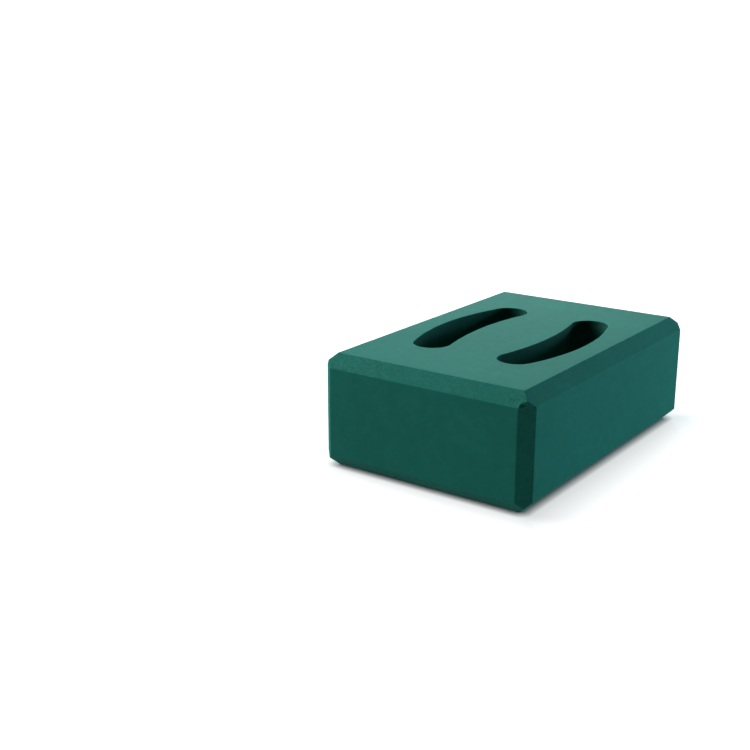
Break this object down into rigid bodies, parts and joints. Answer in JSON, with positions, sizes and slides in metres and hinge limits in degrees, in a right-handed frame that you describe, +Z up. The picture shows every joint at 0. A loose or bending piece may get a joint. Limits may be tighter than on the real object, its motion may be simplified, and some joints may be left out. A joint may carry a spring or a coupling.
{
  "type": "foam support block",
  "caption": "Chamfered slab of closed-cell foam with a curved grip slot through it on each side of its long centre line; it stands on any of its faces.",
  "frame": {"origin": "centre of the bottom face, midway between the two slots", "axes": "+Z up, the slots running right through along it; +Y along the block's long side and the slots; +X across its short side. The slots bow outwards, towards +X and -X"},
  "size_m": [0.1524, 0.2286, 0.0762],
  "materials": {
    "foam": "matte closed-cell EVA foam, teal green, smooth moulded faces with finely speckled cut edges"
  },
  "bodies": {
    "root": {"foam_block": "foam"}
  },
  "joints": []
}
